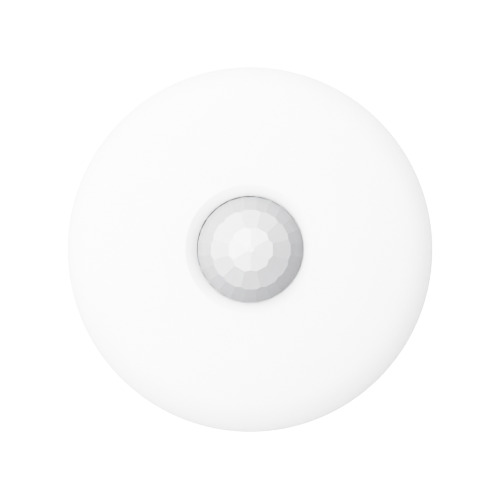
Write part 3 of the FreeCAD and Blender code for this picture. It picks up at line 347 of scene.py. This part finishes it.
# --------------------------------------------------------- two-finish materials
def two_finishes(name, mask, first, second):
    """One finish where the mask is 0 and another where it is 1."""
    mat, tree, surface = new_material(name)
    where = coords(tree)
    share = mask(tree, where)
    mix = node(tree, "MixShader", {0: share, 1: first(tree, where), 2: second(tree, where)})
    tree.links.new(mix.outputs[0], surface)
    return mat


def gloss(color, rough, metallic=0.0, scale=1200.0, depth=1.0e-6):
    """A finish with fine grain and broad, faint patches."""

    def finish(tree, where):
        grain = noise(tree, where, scale=scale, detail=3.0, rough=0.6)
        patch = noise(tree, where, scale=scale * 0.06, detail=3.0)
        return principled(tree, {
            "Base Color": mottle(tree, patch, *tones(color, tint=0.06)),
            "Metallic": metallic,
            "Roughness": spread(tree, grain, low=rough * 0.85, high=rough * 1.2),
            "Normal": bump(tree, grain, distance=depth),
            "Coat Weight": 0.0,
            "Coat Roughness": 0.06,
        })

    return finish


# The battery's axis runs along X at this Y and Z; its ends are bare inside the radius.
CELL_Y, CELL_Z, BARE_RADIUS = -0.031, 0.0119, 0.0071
# The sleeve is pale beyond BAND_X towards -X, and on a thin ring centred on RING_X.
BAND_X, RING_X, RING_HALF = -0.0102, -0.0090, 0.00035


def sleeve_mask(tree, where):
    """1 on the sleeve, 0 on the bare metal of both ends."""
    _, y, z = axes(tree, where)
    off_y = calc(tree, "SUBTRACT", y, CELL_Y)
    off_z = calc(tree, "SUBTRACT", z, CELL_Z)
    squares = [calc(tree, "MULTIPLY", off, off) for off in (off_y, off_z)]
    radius = calc(tree, "SQRT", calc(tree, "ADD", *squares))
    return calc(tree, "GREATER_THAN", radius, BARE_RADIUS)


def sleeve(tree, where):
    """Shrink sleeve: slate body with a pale band and ring near its -X end."""
    x = axes(tree, where)[0]
    band = calc(tree, "LESS_THAN", x, BAND_X)
    from_ring = calc(tree, "ABSOLUTE", calc(tree, "SUBTRACT", x, RING_X))
    pale = calc(tree, "MAXIMUM", band, calc(tree, "LESS_THAN", from_ring, RING_HALF))
    cloud = noise(tree, where, scale=90.0, detail=3.0)
    slate = mottle(tree, cloud, dark=(0.030, 0.040, 0.060), light=(0.036, 0.048, 0.070))
    wrinkle = noise(tree, where, scale=240.0, detail=3.0)
    return principled(tree, {
        "Base Color": mix_color(tree, pale, slate, (0.46, 0.47, 0.48)),
        "Roughness": spread(tree, wrinkle, low=0.2, high=0.32),
        "Normal": bump(tree, wrinkle, distance=1.2e-5),
        "Coat Weight": 0.4,
    })


def package(name, centre, half):
    """Moulded chip with tinned leads outside the given half widths in X and Y, in mm."""

    def leads(tree, where):
        outside = [
            calc(
                tree,
                "GREATER_THAN",
                calc(tree, "ABSOLUTE", calc(tree, "SUBTRACT", place, middle * MM)),
                reach * MM,
            )
            for place, middle, reach in zip(axes(tree, where), centre, half)
        ]
        return calc(tree, "MAXIMUM", *outside)

    body = gloss(color=(0.016, 0.016, 0.018), rough=0.5, scale=3200.0, depth=3.0e-6)
    tin = gloss(color=(0.62, 0.62, 0.61), rough=0.3, metallic=1.0, scale=1800.0)
    return two_finishes(name, leads, body, tin)


def height_mask(test, height):
    """1 where Z passes the test against the height."""
    return lambda tree, where: calc(tree, test, axes(tree, where)[2], height)


CAN_BASE_TOP = 0.01645
PIN_BASE_TOP = 0.0175
cell_metal = gloss(color=(0.66, 0.65, 0.62), rough=0.22, metallic=1.0)
can_metal = gloss(color=(0.70, 0.71, 0.73), rough=0.24, metallic=1.0, scale=1500.0)
base_black = gloss(color=(0.016, 0.016, 0.018), rough=0.45)
pin_gold = gloss(color=(0.86, 0.66, 0.30), rough=0.22, metallic=1.0)

battery_mat = two_finishes("battery_sleeve", sleeve_mask, cell_metal, sleeve)
mcu_mat = package("chip_black_mcu", centre=(-18.5, -7.0), half=(3.52, 3.52))
amp_mat = package("chip_black_amp", centre=(-18.5, 5.0), half=(2.02, 2.52))
caps_mat = two_finishes(
    "capacitor_metal", height_mask("LESS_THAN", CAN_BASE_TOP), can_metal, base_black
)
pins_mat = two_finishes(
    "programming_pins", height_mask("GREATER_THAN", PIN_BASE_TOP), base_black, pin_gold
)

NODE_MATERIALS = {
    "mounting_plate": plate_mat,
    "rear_housing": shell_mat,
    "front_cover": shell_mat,
    "lens": lens_mat,
    "lens_retainer": retainer_mat,
    "cover_screws": screw_mat,
    "board_screws": screw_mat,
    "retainer_screws": screw_mat,
    "main_board": board_mat,
    "pyro_header": nickel_mat,
    "pyro_can": nickel_mat,
    "pyro_window": filter_mat,
    "pyro_element": ceramic_mat,
    "sensor_shroud": shroud_mat,
    "indicator_led": led_mat,
    "battery": battery_mat,
    "battery_contact_positive": contact_mat,
    "battery_contact_negative": contact_mat,
    "battery_lead_red": wire_red_mat,
    "battery_lead_black": wire_black_mat,
    "antenna": copper_mat,
    "radio_shield": shield_mat,
    "microcontroller": mcu_mat,
    "amplifier_chip": amp_mat,
    "crystal": shield_mat,
    "capacitors": caps_mat,
    "programming_header": pins_mat,
    "thermistor": bead_mat,
    "tamper_switch": switch_mat,
    "enrol_switch": switch_mat,
    "tamper_stem": stem_mat,
    "enrol_stem": stem_mat,
    "tamper_plunger": plunger_mat,
    "tamper_spring": spring_mat,
    "enrol_button": plunger_mat,
}


def place_mesh(name, mesh, mat):
    """Put a mesh in the scene with one finish."""
    made = bpy.data.objects.new(name, mesh)
    scene.collection.objects.link(made)
    mesh.materials.clear()
    mesh.materials.append(mat)
    return made


def mesh_object(name, bm, mat, smooth):
    mesh = bpy.data.meshes.new(name)
    bm.normal_update()
    bm.to_mesh(mesh)
    bm.free()
    made = place_mesh(name, mesh, mat)
    for face in mesh.polygons:
        face.use_smooth = smooth
    return made


# ----------------------------------------------------------------------- lens
# The dome sits off centre towards +X and -Y, as its clearance allows: the facets by
# FACET_SEAT and the skirt by SKIRT_SEAT, in mm, with the outer facets between.
FACET_SEAT, SKIRT_SEAT = (0.389, -0.260), (0.115, -0.164)
# radii at which the shift starts to change and reaches the skirt's
FACET_RADIUS, SKIRT_RADIUS = 11.95 * MM, 15.68 * MM
# The skirt is wider by WIDER mm all round, and by up to SWELL mm more towards SWELL_WAY.
WIDER, SWELL, SWELL_WAY = 0.022, 0.11, math.radians(45.0)


def lens_dome():
    """The CAD lens, shifted in its opening and swollen at the skirt."""
    mesh = nodes["lens"].data.copy()
    mesh.name = "lens_dome"
    dome = place_mesh("lens_dome", mesh, lens_mat)
    for vert in mesh.vertices:
        outward = math.hypot(vert.co.x, vert.co.y) - FACET_RADIUS
        share = min(max(outward / (SKIRT_RADIUS - FACET_RADIUS), 0.0), 1.0)
        way = math.atan2(vert.co.y, vert.co.x)
        swell = (WIDER + SWELL * max(math.cos(way - SWELL_WAY), 0.0) ** 2) * share
        for i, part in enumerate((math.cos(way), math.sin(way))):
            shift = FACET_SEAT[i] + (SKIRT_SEAT[i] - FACET_SEAT[i]) * share
            vert.co[i] += (shift + swell * part) * MM
    return dome


lens = lens_dome()
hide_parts("lens")
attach(lens, "head")

# -------------------------------------------------------------- tamper spring
# It runs between the plunger's collar and the switch above it.
COIL_RADIUS = 2.3 * MM
WIRE_RADIUS = 0.15 * MM
COIL_TURNS = 3
STEPS_PER_TURN = 72
WIRE_SIDES = 14


def coil_spring(name, centre, z_low, z_high, mat):
    """Round wire in a coil with capped ends; also each vertex's share of the length."""
    bm = bmesh.new()
    shares, rings = [], []
    steps = STEPS_PER_TURN * COIL_TURNS
    rise = (z_high - z_low) / steps
    slope = math.atan2(rise * STEPS_PER_TURN, 2 * math.pi * COIL_RADIUS)
    for k in range(steps + 1):
        turned = 2 * math.pi * k / STEPS_PER_TURN
        cos, sin = math.cos(turned), math.sin(turned)
        outward = Vector((cos, sin, 0))
        along = Vector((-sin * math.cos(slope), cos * math.cos(slope), math.sin(slope)))
        side = along.cross(outward)
        middle = Vector((*centre, z_low + rise * k)) + outward * COIL_RADIUS
        ring = []
        for i in range(WIRE_SIDES):
            angle = 2 * math.pi * i / WIRE_SIDES
            spoke = outward * math.cos(angle) + side * math.sin(angle)
            ring.append(bm.verts.new(middle + spoke * WIRE_RADIUS))
            shares.append(k / steps)
        rings.append(ring)
    for below, above in zip(rings, rings[1:]):
        for i in range(WIRE_SIDES):
            j = (i + 1) % WIRE_SIDES
            bm.faces.new((below[i], below[j], above[j], above[i]))
    bm.faces.new(list(reversed(rings[0])))
    bm.faces.new(rings[-1])
    bmesh.ops.recalc_face_normals(bm, faces=bm.faces)
    return mesh_object(name, bm, mat, smooth=True), shares


low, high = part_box("tamper_spring")
spring_axis = ((low.x + high.x) / 2, (low.y + high.y) / 2)
spring, spring_shares = coil_spring(
    "tamper_coil", spring_axis, low.z + WIRE_RADIUS, high.z - WIRE_RADIUS, spring_mat
)
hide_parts("tamper_spring")
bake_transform(spring)

# ---------------------------------------------------------------------- floor
FLOOR_RADIUS = 12.0
FLOOR_Z = -0.0002
FLOOR_BOUNCE = 0.5  # reflectance for all but camera rays
FLOOR_SEEN = 0.72  # reflectance for camera rays


def floor_material():
    """Pale to the camera, with less light thrown back under the rim."""
    mat, tree, surface = new_material("floor_pale")
    to_eye = node(tree, "LightPath").outputs["Is Camera Ray"]
    color = mix_color(tree, to_eye, (FLOOR_BOUNCE,) * 3, (FLOOR_SEEN,) * 3)
    diffuse = node(tree, "BsdfDiffuse", {"Color": color}).outputs[0]
    # lit over white for the camera only, most where it looks straight down
    incoming = node(tree, "NewGeometry").outputs["Incoming"]
    facing = axes(tree, incoming)[2]
    glow = spread(tree, facing, low=0.0, high=3.0, from_low=0.8, from_high=0.99)
    strength = calc(tree, "MULTIPLY", to_eye, glow)
    lift = node(tree, "Emission", {"Color": (1, 1, 1, 1), "Strength": strength}).outputs[0]
    tree.links.new(node(tree, "AddShader", {0: diffuse, 1: lift}).outputs[0], surface)
    return mat


def build_floor():
    bm = bmesh.new()
    bmesh.ops.create_circle(bm, cap_ends=True, radius=FLOOR_RADIUS, segments=64)
    floor = mesh_object("floor", bm, floor_material(), smooth=False)
    floor.location = (0, 0, FLOOR_Z)


build_floor()


# ---------------------------------------------------------------------- light
def direction(azimuth, tilt):
    """Unit vector from azimuth round Z from +X and tilt from +Z, in degrees."""
    around, down = math.radians(azimuth), math.radians(tilt)
    return Vector((
        math.cos(around) * math.sin(down),
        math.sin(around) * math.sin(down),
        math.cos(down),
    ))


SKY_BASE = 0.004  # even light from everywhere
SKY_SEEN = 1.6  # plain white behind everything, for the camera only
# A soft studio of broad lobes of light: azimuth, tilt, focus (a power), strength.
SKY = [
    (125, 50, 8, 1.72),
    (200, 50, 6, 1.93),
    (147, 15, 8, 0.54),
    (0, 70, 8, 2.11),
    (45, 70, 8, 1.29),
    (90, 70, 8, 2.10),
    (135, 70, 8, 3.32),
    (315, 70, 8, 0.73),
    (240, 40, 8, 3.30),
]


def build_sky():
    world = bpy.data.worlds.new("studio")
    scene.world = world
    world.use_nodes = True
    tree = world.node_tree
    where = node(tree, "TexCoord").outputs["Generated"]
    total = None
    for azimuth, tilt, focus, strength in SKY:
        aim = direction(azimuth, tilt)
        dot = node(tree, "VectorMath", {0: where, 1: aim}, operation="DOT_PRODUCT")
        front = calc(tree, "MAXIMUM", dot.outputs["Value"], 0.0)
        lobe = calc(tree, "POWER", front, focus)
        part = node(tree, "Math", {0: lobe, 1: strength, 2: SKY_BASE}, operation="MULTIPLY_ADD")
        # only the first lobe adds to the base, the others to the sum before them
        if total is not None:
            tree.links.new(total, part.inputs[2])
        total = part.outputs[0]
    to_eye = node(tree, "LightPath").outputs["Is Camera Ray"]
    pick = node(tree, "Mix", {0: to_eye, 2: total, 3: SKY_SEEN}, data_type="FLOAT")
    background = tree.nodes["Background"]
    background.inputs["Color"].default_value = (1.0, 1.0, 1.0, 1.0)
    tree.links.new(pick.outputs[0], background.inputs["Strength"])


def disk_light(name, azimuth, tilt, distance, size, power):
    """Round soft light aimed at the origin."""
    data = bpy.data.lights.new(name, "AREA")
    data.shape = "DISK"
    data.size = size
    data.energy = power
    light = bpy.data.objects.new(name, data)
    scene.collection.objects.link(light)
    away = direction(azimuth, tilt)
    light.location = away * distance
    light.rotation_euler = away.to_track_quat("Z", "Y").to_euler()
    light.visible_camera = False
    return light


def only_on(light, receiver):
    """Light linking: this light reaches only this object."""
    group = bpy.data.collections.new(light.name + "_receivers")
    group.objects.link(receiver)
    light.light_linking.receiver_collection = group


build_sky()
# the key gives the lens its sheen and nothing else
lens_key = disk_light("lens_key", azimuth=140.0, tilt=20.0, distance=1.6, size=0.7, power=462.0)
lens_key.visible_diffuse = False
lens_key.visible_transmission = False
only_on(lens_key, lens)

# --------------------------------------------------------------------- camera
SENSOR_WIDTH, FOCAL_LENGTH = 36.0, 1000.0  # mm
FRAME_WIDTH = 0.1505  # width seen at the target
TARGET = Vector((0.0, 0.0, 0.0085))
CAMERA_AZIMUTH, CAMERA_TILT = 306.3, 0.688  # degrees; almost straight above


def build_camera():
    """Long lens looking down, with +Y up in the picture."""
    data = bpy.data.cameras.new("camera")
    data.sensor_width = SENSOR_WIDTH
    data.lens = FOCAL_LENGTH
    data.clip_start, data.clip_end = 0.05, 50.0
    data.shift_x, data.shift_y = -0.00006, -0.00096
    camera = bpy.data.objects.new("camera", data)
    scene.collection.objects.link(camera)
    scene.camera = camera
    back = direction(CAMERA_AZIMUTH, CAMERA_TILT)
    place = TARGET + back * (FRAME_WIDTH / SENSOR_WIDTH * FOCAL_LENGTH)
    right = Vector((0, 1, 0)).cross(back).normalized()
    up = back.cross(right)
    turn = Matrix((right, up, back)).transposed().to_4x4()
    camera.matrix_world = Matrix.Translation(place) @ turn


build_camera()

# -------------------------------------------------------------- tone response
WHITE_LEVEL = 3.0  # scene brightness at the right end of the curve
CURVE_STOPS = (
    0.1, 0.1833, 0.22, 0.26, 0.30, 0.34, 0.38, 0.43, 0.48, 0.54, 0.62, 0.72, 0.85,
)


def shoulder(x, knee=0.55):
    """Film-like response: straight up to the knee, then an even roll-off towards white."""
    return x if x < knee else 1.0 - (1.0 - knee) * math.exp(-(x - knee) / (1.0 - knee))


def set_tone():
    view = scene.view_settings
    view.view_transform = "Standard"
    view.look = "None"
    view.use_curve_mapping = True
    mapping = view.curve_mapping
    mapping.clip_max_x = mapping.clip_max_y = 1.0
    mapping.white_level = (WHITE_LEVEL,) * 3
    points = mapping.curves[3].points  # the curve shared by all channels
    while len(points) > 2:
        points.remove(points[1])
    points[0].location = (0.0, 0.0)
    points[-1].location = (1.0, shoulder(WHITE_LEVEL))
    for x in CURVE_STOPS:
        points.new(x, shoulder(x * WHITE_LEVEL))
    mapping.update()


set_tone()

for name, piece in nodes.items():
    piece.data.materials.clear()
    piece.data.materials.append(NODE_MATERIALS.get(name, plate_mat))
